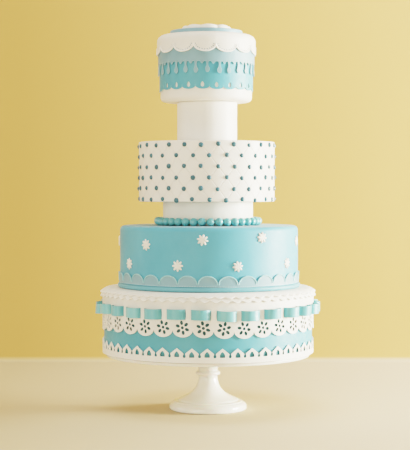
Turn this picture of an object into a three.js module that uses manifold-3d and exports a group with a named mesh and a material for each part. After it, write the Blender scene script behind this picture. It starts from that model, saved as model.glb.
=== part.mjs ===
// A four-tier wedding cake on a milk-glass pedestal, with two plain rounds as spacers between the tiers.
// Millimetres, +Z up. The origin is the centre of the pedestal's foot, on the table; the front faces -Y.
import * as THREE from "three";
import { mergeVertices } from "three/addons/utils/BufferGeometryUtils.js";
import Module from "manifold-3d";

const wasm = await Module();
wasm.setup();

// Sizes that every piece shares
const GAP = 0.3; // between pieces that touch
const DEGREE = Math.PI / 180;
const TURN = 2 * Math.PI;

// The stack, from the table up
const STAND = { height: 98, plate: 172, foot: 65, neck: 15.6, knob: 20.8, sides: 24 };
const TIER_1 = { base: 98.3, top: 206.2, radius: 174.6, edge: 9, sides: 36 };
const TIER_2 = { base: 208.3, top: 312, radius: 150.2, edge: 8, sides: 36, sway: 1.5 };
const SPACER_2 = { base: 312.3, top: 351.7, radius: 76, sides: 32, sway: 0 };
const TIER_3 = { base: 352, top: 452, radius: 114.5, sway: -2.2 };
const SPACER_1 = { base: 452.3, top: 516.7, radius: 50.5, sides: 28, sway: -1.5 };
const TIER_4 = { base: 517, top: 629, radius: 76.5, edge: 7, sides: 32, sway: -3 };

// Bottom tier: blue band, lace with windows for a ribbon, picket lace, draped cover
const BLUE_BAND = { low: 103, high: 160, thick: 1 };
const LACE = { thick: 1.6, scallops: 34, phase: -7.8, top: 198, cusp: 151, tip: 139 };
const PICKET = { thick: 1.6, count: 46, phase: -4.4, low: 98.6, valley: 108.8, peak: 122.3 };
const PICKET_HOLE = { low: 107.8, high: 117, half: 0.24 };
const RIBBON = { width: 16, thick: 0.8, middle: 175, loops: 28, phase: -3.6, bulge: 188.6, run: 7.5 };
const BAR = { half: 4, margin: 0.6 };
const COVER = { thick: 1.5, low: 197, edge: 8 };

// Second tier: scalloped border, rolled rope and daisies.
// Each daisy strays from its place in the row by [degrees, millimetres].
const BORDER = { thick: 1.2, scallops: 29, phase: -7, low: 217.2, cusp: 222.5, tip: 234.5 };
const ROPE = { radius: 4, round: 150.2, seat: 147.8 };
const DAISY = { petals: 8, outer: 9.3, inner: 5.4, middle: 2.6 };
const DAISY_ROWS = [
  {
    name: "high",
    z: 290,
    start: -5,
    strays: [[1, 2], [-0.7, 5], [-1, -3], [2, 1], [0, 4], [-2, -2], [1, 3], [-1, -4], [2.5, -7]],
  },
  {
    name: "low",
    z: 250.5,
    start: -21.5,
    strays: [[2, 0], [-0.8, -1], [-0.8, 1.3], [-1, 0], [1, -1], [0, 1.5], [-1.5, 0.5], [1, -0.5], [1.5, 0]],
  },
];

// Pearls round the wide spacer, and the quilted third tier's sugar beads
const PEARL = { count: 38, ring: 84.5, radius: 8.5, phase: 2.7 };
const BEAD = { columns: 26, rows: 6, radius: 3.6, high: 445.6, low: 356, phase: -4.6, sunk: 1.2 };

// Top tier: punched blue band, fringed band, scalloped collar, disc and flower
const PUNCHED = { thick: 1.3, scallops: 21, phase: -13.2, low: 536.8, cusp: 542.2, high: 590 };
const PUNCHED_HOLE = { low: 540, high: 548.5, half: 0.11 };
const FRINGE = { thick: 1.5, drops: 27, phase: -5, high: 612, hem: 581, point: 578.5, drop: 563.6 };
const COLLAR = { thick: 1.8, scallops: 14, columns: 4, phase: -14.7, cusp: 610, tip: 598, edge: 9 };
const DISC = { base: 631.7, height: 7.4, radius: 61, sides: 32 };
const FLOWER = { base: 639.4, height: 9, radius: 41, aside: 2, lobes: 8, columns: 5, phase: -16.7 };

const sugarPaste = (colour, roughness = 0.55) =>
  new THREE.MeshStandardMaterial({ color: colour, roughness, metalness: 0 });
const WHITE = sugarPaste(0xf4efe6);
const BLUE = sugarPaste(0x7cc0cb);
const TEAL = sugarPaste(0x6cbcc0);
const PALE_BLUE = sugarPaste(0xb0cdd0);
const SATIN = sugarPaste(0x7fc9cc, 0.35);
const PEARL_TEAL = sugarPaste(0x5fb8b6, 0.3);
const MILK_GLASS = sugarPaste(0xf6f3ea, 0.15);

// A point at an angle from the front, positive towards +X
function around(angle, radius, z) {
  return [radius * Math.sin(angle), -radius * Math.cos(angle), z];
}

// A radius for the corners of a piece with flat facets, so that the middle of each clears the given radius
function clearing(radius, facets) {
  return (radius + GAP) / Math.cos(Math.PI / facets);
}

function geometryOf(triangles) {
  const positions = new Float32Array(triangles.flat(2));
  return new THREE.BufferGeometry().setAttribute("position", new THREE.BufferAttribute(positions, 3));
}

// A quad as two triangles
function quad(a, b, c, d) {
  return [
    [a, b, c],
    [a, c, d],
  ];
}

// A piece turned about the Z axis from a profile of [radius, z], bottom to top
function turned(profile, sides, phase = 0) {
  const points = profile.map(([radius, z]) => new THREE.Vector2(radius, z));
  return new THREE.LatheGeometry(points, sides, phase).rotateX(Math.PI / 2);
}

// A ring of cross-sections; section(angle) lists its [radius, z] corners, and the last joins the first.
// Corners with radius 0 lie on the axis, and the face between two of them is left out.
function ringOf(angles, section) {
  const rings = angles.map((angle) => section(angle).map(([radius, z]) => around(angle, radius, z)));
  const triangles = [];
  rings.forEach((ring, k) => {
    const next = rings[(k + 1) % rings.length];
    ring.forEach((corner, i) => {
      const j = (i + 1) % ring.length;
      const startsOnAxis = Math.hypot(corner[0], corner[1]) < 1e-9;
      const endsOnAxis = Math.hypot(ring[j][0], ring[j][1]) < 1e-9;
      if (!startsOnAxis) triangles.push([corner, next[i], next[j]]);
      if (!endsOnAxis) triangles.push([corner, next[j], ring[j]]);
    });
  });
  return geometryOf(triangles);
}

function evenAngles(count, phase = 0) {
  return Array.from({ length: count }, (_, i) => phase + (i * TURN) / count);
}

// A flat strip wrapped round the cake: count equal modules, each cut to the same outline.
// Edges and holes are lists of [u, z], with u from 0 to 1 across a module.
function wrappedStrip({ count, phase, inner, thick, lower, upper, holes = [] }) {
  const pitch = TURN / count;
  const outline = [...lower, ...[...upper].reverse()];
  const toVectors = (loop) => loop.map(([u, z]) => new THREE.Vector2(u, z));
  const faces = THREE.ShapeUtils.triangulateShape(toVectors(outline), holes.map(toVectors));
  const corners = [...outline, ...holes.flat()];
  const turnOf = ([a, b, c]) => {
    const [p, q, r] = [corners[a], corners[b], corners[c]];
    return (q[0] - p[0]) * (r[1] - p[1]) - (r[0] - p[0]) * (q[1] - p[1]);
  };
  const walls = [lower, [...upper].reverse(), ...holes.map((hole) => [...hole, hole[0]])];
  const triangles = [];
  for (let i = 0; i < count; i++) {
    const place = ([u, z], radius) => around(phase + ((i + u) % count) * pitch, radius, z);
    const outer = (corner) => place(corner, inner + thick);
    const back = (corner) => place(corner, inner);
    for (const face of faces) {
      const [a, b, c] = (turnOf(face) > 0 ? face : [...face].reverse()).map((n) => corners[n]);
      triangles.push([outer(a), outer(b), outer(c)], [back(a), back(c), back(b)]);
    }
    for (const wall of walls)
      for (let k = 0; k + 1 < wall.length; k++)
        triangles.push(...quad(outer(wall[k]), back(wall[k]), back(wall[k + 1]), outer(wall[k + 1])));
  }
  return geometryOf(triangles);
}

// A scalloped edge across one module, bulging from the cusps to the tip
function scallop(cusp, tip, steps = 4) {
  return Array.from({ length: steps + 1 }, (_, i) => {
    const across = (2 * i) / steps - 1;
    return [i / steps, cusp + (tip - cusp) * Math.sqrt(1 - across * across)];
  });
}

// A cap draped over a tier: a top, a rounded shoulder and a skirt whose hem follows hem(angle)
function drapedCap({ radius, thick, top, edge, hem, angles }) {
  const slope = edge * (1 - Math.SQRT1_2);
  return ringOf(angles, (angle) => [
    [0, top],
    [0, top - thick],
    [radius - edge, top - thick],
    [radius, top - thick - edge],
    [radius, hem(angle)],
    [radius + thick, hem(angle)],
    [radius + thick, top - thick - edge],
    [radius + thick - slope, top - slope],
    [radius - edge, top],
  ]);
}

// Booleans
function solidOf(geometry) {
  const shared = geometry.clone();
  shared.deleteAttribute("normal");
  shared.deleteAttribute("uv");
  const bare = mergeVertices(shared, 1e-4);
  return new wasm.Manifold(
    new wasm.Mesh({
      numProp: 3,
      vertProperties: bare.getAttribute("position").array,
      triVerts: new Uint32Array(bare.index.array),
    }),
  );
}

function geometryFrom(solid) {
  const mesh = solid.getMesh();
  return new THREE.BufferGeometry()
    .setAttribute("position", new THREE.BufferAttribute(mesh.vertProperties, 3))
    .setIndex(new THREE.BufferAttribute(mesh.triVerts, 1));
}

function joined(pieces) {
  return geometryFrom(pieces.map(solidOf).reduce((whole, piece) => whole.add(piece)));
}

function cutBy(body, cutters) {
  return geometryFrom(cutters.map(solidOf).reduce((rest, cutter) => rest.subtract(cutter), solidOf(body)));
}

// The pedestal: foot with a stepped rim, concave flare, collared neck and a thin plate
function standShape() {
  const { height, plate, foot, neck, knob, sides } = STAND;
  return turned(
    [
      [0, 0],
      [foot - 2, 0],
      [foot, 4],
      [foot - 2, 10],
      [foot - 9, 14],
      [38, 24],
      [25, 33],
      [18.5, 42],
      [neck, 54],
      [knob, 59.5],
      [knob, 63.5],
      [neck, 67.5],
      [17.5, 73],
      [40, 84],
      [plate - 4, 92.8],
      [plate, height - 3],
      [plate, height],
      [0, height],
    ],
    sides,
  );
}

// A tier covered in rolled paste, with a rounded top edge
function tierShape({ base, top, radius, edge, sides }, start = [[radius, base]]) {
  const slope = edge * (1 - Math.SQRT1_2);
  const shoulder = [[radius, top - edge], [radius - slope, top - slope], [radius - edge, top]];
  return turned([[0, base], ...start, ...shoulder, [0, top]], sides);
}

function spacerShape({ base, top, radius, sides }) {
  return turned([[0, base], [radius, base], [radius, top], [0, top]], sides);
}

// Bottom tier
const bandOuter = TIER_1.radius + GAP + BLUE_BAND.thick;
const laceInner = clearing(bandOuter, LACE.scallops);
const coverInner = clearing(laceInner + LACE.thick, TIER_1.sides);

// The side steps out above the ribbon, so that the lace has something to lie on
function firstTierShape() {
  const { base, radius } = TIER_1;
  const ledge = RIBBON.middle + RIBBON.width / 2 + 2;
  return tierShape({ ...TIER_1, radius: bandOuter }, [
    [radius, base],
    [radius, ledge],
    [bandOuter, ledge],
  ]);
}

function blueBandShape() {
  const inner = TIER_1.radius + GAP;
  const { low, high } = BLUE_BAND;
  return ringOf(evenAngles(TIER_1.sides), () => [
    [inner, high],
    [inner, low],
    [bandOuter, low],
    [bandOuter, high],
  ]);
}

// Cutters for the windows between the bars, where the ribbon comes out
function windowCutters() {
  const middle = laceInner + LACE.thick / 2;
  const width = 2 * (middle * Math.sin(Math.PI / RIBBON.loops) - BAR.half);
  const box = new THREE.BoxGeometry(width, 10, RIBBON.width + 2 * BAR.margin);
  return evenAngles(RIBBON.loops, RIBBON.phase * DEGREE).map((angle) =>
    box.clone().rotateZ(angle).translate(...around(angle, middle, RIBBON.middle)),
  );
}

function laceShape() {
  const strip = wrappedStrip({
    count: LACE.scallops,
    phase: LACE.phase * DEGREE,
    inner: laceInner,
    thick: LACE.thick,
    lower: scallop(LACE.cusp, LACE.tip),
    upper: [
      [0, LACE.top],
      [1, LACE.top],
    ],
  });
  return cutBy(strip, windowCutters());
}

// The ribbon runs behind each bar, comes out of a window, bows out and goes back in
function ribbonShape() {
  const { loops, phase, bulge, run, thick, width, middle } = RIBBON;
  const behind = TIER_1.radius + 0.8;
  const pitch = TURN / loops;
  const bar = (BAR.half + 0.4) / behind;
  const rise = (BAR.half + run) / bulge;
  const stations = [
    [-0.5 * pitch + bar, behind],
    [-0.5 * pitch + rise, bulge],
    [0.5 * pitch - rise, bulge],
    [0.5 * pitch - bar, behind],
  ];
  const along = [];
  for (let i = 0; i < loops; i++)
    for (const [offset, radius] of stations) along.push([phase * DEGREE + i * pitch + offset, radius]);
  const radii = new Map(along);
  return ringOf(
    along.map(([angle]) => angle),
    (angle) => {
      const radius = radii.get(angle);
      return [
        [radius - thick / 2, middle + width / 2],
        [radius - thick / 2, middle - width / 2],
        [radius + thick / 2, middle - width / 2],
        [radius + thick / 2, middle + width / 2],
      ];
    },
  );
}

function picketShape() {
  const { low, high, half } = PICKET_HOLE;
  return wrappedStrip({
    count: PICKET.count,
    phase: PICKET.phase * DEGREE,
    inner: clearing(bandOuter, PICKET.count),
    thick: PICKET.thick,
    lower: [
      [0, PICKET.low],
      [1, PICKET.low],
    ],
    upper: [
      [0, PICKET.valley],
      [0.5, PICKET.peak],
      [1, PICKET.valley],
    ],
    holes: [
      [
        [0.5, high],
        [0.5 + half, low],
        [0.5 - half, low],
      ],
    ],
  });
}

function coverShape() {
  return drapedCap({
    radius: coverInner,
    thick: COVER.thick,
    top: TIER_1.top + GAP + COVER.thick,
    edge: COVER.edge,
    hem: () => COVER.low,
    angles: evenAngles(TIER_1.sides),
  });
}

// Second tier
function secondTierShape() {
  const { base } = TIER_2;
  const ledge = base + 2 * ROPE.radius + GAP;
  return tierShape(TIER_2, [
    [ROPE.seat, base],
    [ROPE.seat, ledge],
    [TIER_2.radius, ledge],
  ]);
}

// A rolled rope with a flat back, laid in the tier's foot
function ropeShape() {
  const { radius, round, seat } = ROPE;
  const low = TIER_2.base;
  return ringOf(evenAngles(TIER_2.sides), () => [
    [seat + GAP, low + 2 * radius],
    [seat + GAP, low],
    [round + radius * 0.5, low],
    [round + radius, low + radius],
    [round + radius * 0.5, low + 2 * radius],
  ]);
}

function borderShape() {
  return wrappedStrip({
    count: BORDER.scallops,
    phase: BORDER.phase * DEGREE,
    inner: clearing(TIER_2.radius, BORDER.scallops),
    thick: BORDER.thick,
    lower: [
      [0, BORDER.low],
      [1, BORDER.low],
    ],
    upper: scallop(BORDER.cusp, BORDER.tip),
  });
}

// A daisy of thin paste, thickest in the middle, facing out at an angle
function daisyShape(angle, z, spin) {
  const points = 2 * DAISY.petals;
  const outline = Array.from({ length: points }, (_, i) => {
    const radius = i % 2 ? DAISY.inner : DAISY.outer;
    const turn = spin + (i * TURN) / points;
    return [radius * Math.cos(turn), radius * Math.sin(turn)];
  });
  const at = ([x, up], out) => [x, -(TIER_2.radius + GAP + out), z + up];
  const triangles = [];
  outline.forEach((corner, i) => {
    const next = outline[(i + 1) % points];
    triangles.push([at([0, 0], DAISY.middle), at(corner, 0), at(next, 0)]);
    triangles.push([at([0, 0], 0), at(next, 0), at(corner, 0)]);
  });
  return geometryOf(triangles).rotateZ(angle);
}

// Pearls set close enough to press against each other
function pearlShape() {
  const pearl = new THREE.IcosahedronGeometry(PEARL.radius);
  pearl.computeBoundingBox();
  const z = TIER_2.top + GAP - pearl.boundingBox.min.z;
  const angles = evenAngles(PEARL.count, PEARL.phase * DEGREE);
  const place = (angle) => around(angle, PEARL.ring, z);
  return joined(angles.map((angle) => pearl.clone().rotateZ(angle).translate(...place(angle))));
}

// Third tier: a sharp-edged drum with sugar beads at the corners of its quilting
function thirdTierShape() {
  const { base, top, radius } = TIER_3;
  const sides = 2 * BEAD.columns; // one bead in the middle of each facet, in every second row
  const half = Math.PI / sides;
  const phase = BEAD.phase * DEGREE;
  const face = radius * Math.cos(half) - BEAD.sunk;
  const drum = turned([[0, base], [radius, base], [radius, top], [0, top]], sides, phase + half);
  const beads = [];
  for (let row = 0; row < BEAD.rows; row++) {
    const z = BEAD.high - (row * (BEAD.high - BEAD.low)) / (BEAD.rows - 1);
    for (const angle of evenAngles(BEAD.columns, phase + (row % 2) * (Math.PI / BEAD.columns))) {
      const bead = new THREE.OctahedronGeometry(BEAD.radius);
      beads.push(bead.rotateZ(angle).translate(...around(angle, face, z)));
    }
  }
  return joined([drum, ...beads]);
}

// Top tier
const punchedInner = clearing(TIER_4.radius, PUNCHED.scallops);
const fringeInner = clearing(punchedInner + PUNCHED.thick, FRINGE.drops);
const collarInner = clearing(fringeInner + FRINGE.thick, COLLAR.scallops * COLLAR.columns);

function punchedShape() {
  const { low, high, half } = PUNCHED_HOLE;
  const middle = (low + high) / 2;
  return wrappedStrip({
    count: PUNCHED.scallops,
    phase: PUNCHED.phase * DEGREE,
    inner: punchedInner,
    thick: PUNCHED.thick,
    lower: scallop(PUNCHED.cusp, PUNCHED.low),
    upper: [
      [0, PUNCHED.high],
      [1, PUNCHED.high],
    ],
    holes: [
      [
        [0.5, high],
        [0.5 + half, middle - 1],
        [0.5, low],
        [0.5 - half, middle - 1],
      ],
    ],
  });
}

// A fringe of long drops with short points between them
function fringeShape() {
  const { high, hem, point, drop } = FRINGE;
  const bulb = drop + 5;
  return wrappedStrip({
    count: FRINGE.drops,
    phase: FRINGE.phase * DEGREE,
    inner: fringeInner,
    thick: FRINGE.thick,
    lower: [
      [0, point],
      [0.4, hem],
      [0.3, bulb],
      [0.5, drop],
      [0.7, bulb],
      [0.6, hem],
      [1, point],
    ],
    upper: [
      [0, high],
      [1, high],
    ],
  });
}

function collarShape() {
  const { scallops, columns, phase, cusp, tip, thick, edge } = COLLAR;
  const hem = (angle) => {
    const across = 2 * ((((angle - phase * DEGREE) * scallops) / TURN) % 1) - 1;
    return cusp - (cusp - tip) * Math.sqrt(Math.max(0, 1 - across * across));
  };
  return drapedCap({
    radius: collarInner,
    thick,
    top: DISC.base - GAP,
    edge,
    hem,
    angles: evenAngles(scallops * columns, phase * DEGREE),
  });
}

function discShape() {
  const { base, height, radius, sides } = DISC;
  const top = base + height;
  return turned(
    [[0, base], [radius - 1, base], [radius, base + height / 2], [radius - 1, top], [0, top]],
    sides,
  );
}

// A flower of round lobes, dished a little in the middle
function flowerShape() {
  const { base, height, radius, lobes, columns, phase } = FLOWER;
  const reach = (angle) => {
    const across = 2 * ((((angle - phase * DEGREE) * lobes) / TURN) % 1) - 1;
    return radius * (0.84 + 0.16 * Math.sqrt(Math.max(0, 1 - across * across)));
  };
  return ringOf(evenAngles(lobes * columns, phase * DEGREE), (angle) => [
    [0, base + height * 0.7],
    [0, base],
    [reach(angle) - 3, base],
    [reach(angle), base + height * 0.45],
    [reach(angle) - 5, base + height],
  ]);
}

// Assembly
function named(name, geometry, material) {
  const mesh = new THREE.Mesh(geometry, material);
  mesh.name = name;
  return mesh;
}

function level(sway, ...meshes) {
  const group = new THREE.Group();
  group.position.x = sway;
  group.add(...meshes);
  return group;
}

function daisies() {
  return DAISY_ROWS.flatMap(({ name, z, start, strays }) =>
    strays.map(([turn, up], i) => {
      const angle = (start + turn) * DEGREE + (i * TURN) / strays.length;
      return named(`daisy_${name}_${i + 1}`, daisyShape(angle, z + up, i * 0.3), WHITE);
    }),
  );
}

const cake = new THREE.Group();
cake.add(
  named("cake_stand", standShape(), MILK_GLASS),
  named("tier_1", firstTierShape(), WHITE),
  named("tier_1_cover", coverShape(), WHITE),
  named("tier_1_blue_band", blueBandShape(), TEAL),
  named("tier_1_eyelet_lace", laceShape(), WHITE),
  named("tier_1_ribbon", ribbonShape(), SATIN),
  named("tier_1_picket_lace", picketShape(), WHITE),
  level(
    TIER_2.sway,
    named("tier_2", secondTierShape(), BLUE),
    named("tier_2_rope", ropeShape(), BLUE),
    named("tier_2_border", borderShape(), PALE_BLUE),
    ...daisies(),
  ),
  level(
    SPACER_2.sway,
    named("spacer_2", spacerShape(SPACER_2), WHITE),
    named("pearl_ring", pearlShape(), PEARL_TEAL),
  ),
  level(TIER_3.sway, named("tier_3", thirdTierShape(), WHITE)),
  level(SPACER_1.sway, named("spacer_1", spacerShape(SPACER_1), WHITE)),
  level(
    TIER_4.sway,
    named("tier_4", tierShape(TIER_4), WHITE),
    named("tier_4_punched_band", punchedShape(), TEAL),
    named("tier_4_fringe", fringeShape(), PALE_BLUE),
    named("tier_4_collar", collarShape(), WHITE),
    named("top_disc", discShape(), BLUE),
    level(FLOWER.aside, named("top_flower", flowerShape(), WHITE)),
  ),
);

export default cake;
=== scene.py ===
"""A four-tier wedding cake on a milk-glass stand.

The trims are made as a cake decorator makes them: cut flat from thin paste, then laid round a tier.
"""
import math
import random
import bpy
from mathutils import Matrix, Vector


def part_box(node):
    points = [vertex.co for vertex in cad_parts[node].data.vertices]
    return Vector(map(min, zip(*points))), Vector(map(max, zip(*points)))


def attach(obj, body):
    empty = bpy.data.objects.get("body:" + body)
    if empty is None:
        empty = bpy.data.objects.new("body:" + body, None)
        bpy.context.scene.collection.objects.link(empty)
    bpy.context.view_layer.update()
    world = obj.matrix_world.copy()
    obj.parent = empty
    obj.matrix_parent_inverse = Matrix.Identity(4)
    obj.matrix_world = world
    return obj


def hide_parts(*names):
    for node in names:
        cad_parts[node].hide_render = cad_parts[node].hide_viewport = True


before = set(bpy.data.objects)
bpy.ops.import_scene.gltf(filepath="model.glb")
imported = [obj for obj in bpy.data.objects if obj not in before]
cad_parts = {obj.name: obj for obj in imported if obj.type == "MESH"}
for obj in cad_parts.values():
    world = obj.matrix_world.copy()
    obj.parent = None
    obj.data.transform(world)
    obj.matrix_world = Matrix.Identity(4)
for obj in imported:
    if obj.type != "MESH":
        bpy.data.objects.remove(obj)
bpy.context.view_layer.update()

from types import SimpleNamespace as Sizes

import bpy
from mathutils import Vector, noise
from mathutils.geometry import delaunay_2d_cdt

MM = 0.001
DEGREE = math.pi / 180
TURN = 2 * math.pi


# Sizes of the tiers, from the frame
class Round:
    """A round node's middle, radius and heights."""

    def __init__(self, node):
        self.node = node
        low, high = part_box(node)
        self.sway = (low.x + high.x) / 2
        self.radius = (high.x - low.x) / 2
        self.base = low.z
        self.top = high.z


TIER_1 = Round("tier_1")
TIER_2 = Round("tier_2")
SPACER_2 = Round("spacer_2")
TIER_3 = Round("tier_3")
SPACER_1 = Round("spacer_1")
TIER_4 = Round("tier_4")
DISC = Round("top_disc")
FLOWER = Round("top_flower")
DAISY_NODES = [f"daisy_{row}_{number}" for row in ("high", "low") for number in range(1, 10)]
COVER_NODE = "tier_1_cover"

# The top tier's foot meets its spacer this much higher than the plain solids do
JOINT_LIFT = 2.2 * MM
TIER_4.base += JOINT_LIFT
SPACER_1.top += JOINT_LIFT

# Thickness of rolled paste, width of the paler line along a cut (painted highlight, and the drier paste of
# the cut), and height over which a hem curls out
PASTE = 1.5 * MM
CUT_EDGE = 0.9 * MM
CURL = 5 * MM

# Radii of the drums' sides, and of the inner faces of the trims on them
TIER_1_SIDE = 174.4 * MM
TIER_1_TRIM = 177.0 * MM
TIER_3_SIDE = 114.5 * MM
TIER_4_SIDE = 77.0 * MM
PUNCHED_INNER = TIER_4_SIDE + 0.3 * MM
FRINGE_INNER = PUNCHED_INNER + PASTE + 0.9 * MM
COLLAR_INNER = FRINGE_INNER + PASTE + 0.2 * MM

# The stand's outline, as radius, height and rounding of each corner in mm
STAND_CORNERS = [
    (0.0, 0, 0), (62.6, 0, 0.3), (63.0, 0.8, 0.2), (65.0, 0.9, 0.5), (65.8, 2.4, 0.8), (65.2, 8.6, 2),
    (61.2, 12.4, 3), (58.6, 13.2, 1.2), (58.0, 14.8, 1), (52.0, 16.0, 1.4), (50.6, 17.8, 1), (40.0, 22.2, 5),
    (29.0, 28.2, 5), (20.0, 38.0, 6), (15.8, 52.0, 6), (16.0, 57.4, 1.4), (20.8, 59.4, 1.4),
    (20.8, 63.4, 1.4), (16.2, 65.8, 1.2), (16.2, 71.0, 2), (20.0, 77.0, 3), (44.0, 84.6, 6), (90.0, 88.8, 8),
    (164.0, 91.6, 2), (172.2, 92.8, 1.4), (172.4, 97.6, 1.4), (168.0, 98.0, 1), (0.0, 98.0, 0),
]

# Trims of the bottom tier
BLUE_BAND = Sizes(low=103 * MM, high=165 * MM, thick=1.2 * MM)
LACE = Sizes(
    count=34, phase=-7.8 * DEGREE, cusp=151 * MM, tip=139 * MM, join=166 * MM,
    eye=155.4 * MM, waver=1.2 * MM,
)
EYELET = Sizes(petals=6, ring=7.9 * MM, long=3.6 * MM, wide=2.5 * MM, middle=2.5 * MM)
# A dark round behind each rosette of the eyelet lace: painted shade for its holes
SHADE_DISC = Sizes(radius=12.2 * MM, below=0.6 * MM, thick=0.4 * MM)
BEADING = Sizes(
    count=28, phase=-3.6 * DEGREE, top=198 * MM, bar=4 * MM, slot=2.8 * MM,
    height=17.6 * MM,
)
RIBBON = Sizes(middle=175 * MM, width=16.2 * MM, bulge=14.6 * MM, share=0.77, thick=0.4 * MM)
PICKET = Sizes(
    count=46, phase=-4.4 * DEGREE, low=99 * MM, valley=107.3 * MM, peak=122.4 * MM,
    thick=1.3 * MM,
)
HOUSE = Sizes(sill=108 * MM, half=4.2 * MM, eave=4.8 * MM, ridge=9.3 * MM)
COVER = Sizes(
    count=66, phase=1 * DEGREE, offset=0.031, depth=1.7 * MM, hems=(196.3 * MM, 202.4 * MM),
    edge=9.5 * MM, inward=34 * MM, flare=1.8 * MM,
)

# Half of the gap between two pickets, in mm from its lowest point
PICKET_GAP = [(0.0, 0.0), (1.4, 0.3), (2.3, 1.7), (2.2, 3.6), (1.4, 5.4), (1.9, 6.9), (2.8, 7.8)]

# Trims of the tiers above it
BORDER = Sizes(
    count=29, phase=-7 * DEGREE, low=217 * MM, cusp=221.6 * MM, tip=234.5 * MM,
    thick=1.3 * MM, gap=1.1 * MM,
)
DAISY = Sizes(petals=8, outer=9.5 * MM, inner=5.0 * MM, thick=2.2 * MM)
PEARL = Sizes(count=38, ring=84.5 * MM, radius=6.9 * MM, phase=2.7 * DEGREE)
DRAGEE = Sizes(
    rows=6, columns=26, phase=-4.6 * DEGREE, radius=4.4 * MM, low=355.8 * MM,
    high=445.4 * MM,
)
PUNCHED = Sizes(count=21, phase=-13.2 * DEGREE, low=536.8 * MM, cusp=542.4 * MM, high=592 * MM)
PUNCH = Sizes(middle=544.6 * MM, long=4.3 * MM, wide=2.7 * MM, taper=16 * MM)
FRINGE = Sizes(count=27, phase=-5 * DEGREE, high=612 * MM, hem=581.5 * MM, drop=563.4 * MM)
COLLAR = Sizes(
    count=14, phase=-14.7 * DEGREE, cusp=610 * MM, tip=598 * MM, edge=11 * MM,
    open=50 * MM, flare=1.2 * MM,
)
PRICKS = Sizes(count=11, aside=3.2 * MM, above=2.2 * MM, radius=1.0 * MM)
LOBES = Sizes(count=8, phase=-16.7 * DEGREE, aside=-1.5 * MM)

# Half of one drop of the fringe: its hem from the left, its neck, and the drop from its neck to its tip.
# The first is in mm from the left end of the hem, the others from the middle and the hem or the tip.
FRINGE_HEM = [(0.0, -3.6), (1.3, -2.6), (2.6, -0.4), (4.4, 0.8)]
FRINGE_NECK = [(2.4, 0.4), (1.5, -2.4), (1.3, -5.8)]
FRINGE_DROP = [(2.2, 9.4), (3.5, 6.6), (3.3, 3.6), (1.9, 1.1), (0.0, 0.0)]

# The camera, from the horizon and the outlines in the photograph
IMAGE_WIDTH, IMAGE_HEIGHT = 410, 450
MM_PER_PIXEL = 1.693
HORIZON_ROW = 190
DISTANCE_PIXELS = 1400
AXIS_COLUMN = 208
FLOOR_ROW = 409.4
SENSOR = 36.0

# Sides of a turned round, turns of the surface that stay sharp, and the distance at which points are joined
SIDES = 192
TURNED_CREASE = 38 * DEGREE
CUT_CREASE = 40 * DEGREE
WELD = 0.02 * MM

# A shoulder far above every strip, for strips that stay upright
NO_SHOULDER = 10.0


# Building node trees
def operator(operation, swapped=False):
    """An operator of wires, as a math node."""
    def apply(wire, other):
        operands = (other, wire) if swapped else (wire, other)
        return wire.nodes.math(operation, *operands)
    return apply


class Wire:
    """An output of a node. Wires add, subtract, multiply and divide as numbers do."""

    def __init__(self, nodes, socket):
        self.nodes = nodes
        self.socket = socket

    __add__ = __radd__ = operator("ADD")
    __sub__, __rsub__ = operator("SUBTRACT"), operator("SUBTRACT", swapped=True)
    __mul__ = __rmul__ = operator("MULTIPLY")
    __truediv__, __rtruediv__ = operator("DIVIDE"), operator("DIVIDE", swapped=True)
    __gt__ = operator("GREATER_THAN")


def named(sockets, label):
    return next(socket for socket in sockets if socket.enabled and socket.name == label)


def in_scene(name, data):
    """A new object in the scene, at the origin."""
    thing = bpy.data.objects.new(name, data)
    bpy.context.scene.collection.objects.link(thing)
    return thing


class Nodes:
    """A node tree under construction, for a shape or a material."""

    def __init__(self, tree):
        self.tree = tree

    def add(self, kind, output=None, **values):
        """A new node's output. Values with a capital feed the node's inputs, the others are its settings."""
        node = self.tree.nodes.new(kind)
        for name, value in values.items():
            if name[0].islower():
                setattr(node, name, value)
        for name, value in values.items():
            if name[0].isupper():
                for one in value if isinstance(value, list) else [value]:
                    self.feed(named(node.inputs, name.replace("_", " ")), one)
        if output:
            return Wire(self, named(node.outputs, output))
        return Wire(self, next(socket for socket in node.outputs if socket.enabled))

    def feed(self, socket, value):
        if isinstance(value, Wire):
            self.tree.links.new(value.socket, socket)
        else:
            socket.default_value = value

    def math(self, operation, *operands):
        node = self.tree.nodes.new("ShaderNodeMath")
        node.operation = operation
        for socket, operand in zip(node.inputs, operands):
            self.feed(socket, operand)
        return Wire(self, node.outputs[0])

    def vector(self, x, y, z):
        return self.add("ShaderNodeCombineXYZ", X=x, Y=y, Z=z)

    def split(self, vector):
        node = self.tree.nodes.new("ShaderNodeSeparateXYZ")
        self.feed(node.inputs[0], vector)
        return [Wire(self, socket) for socket in node.outputs]


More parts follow.
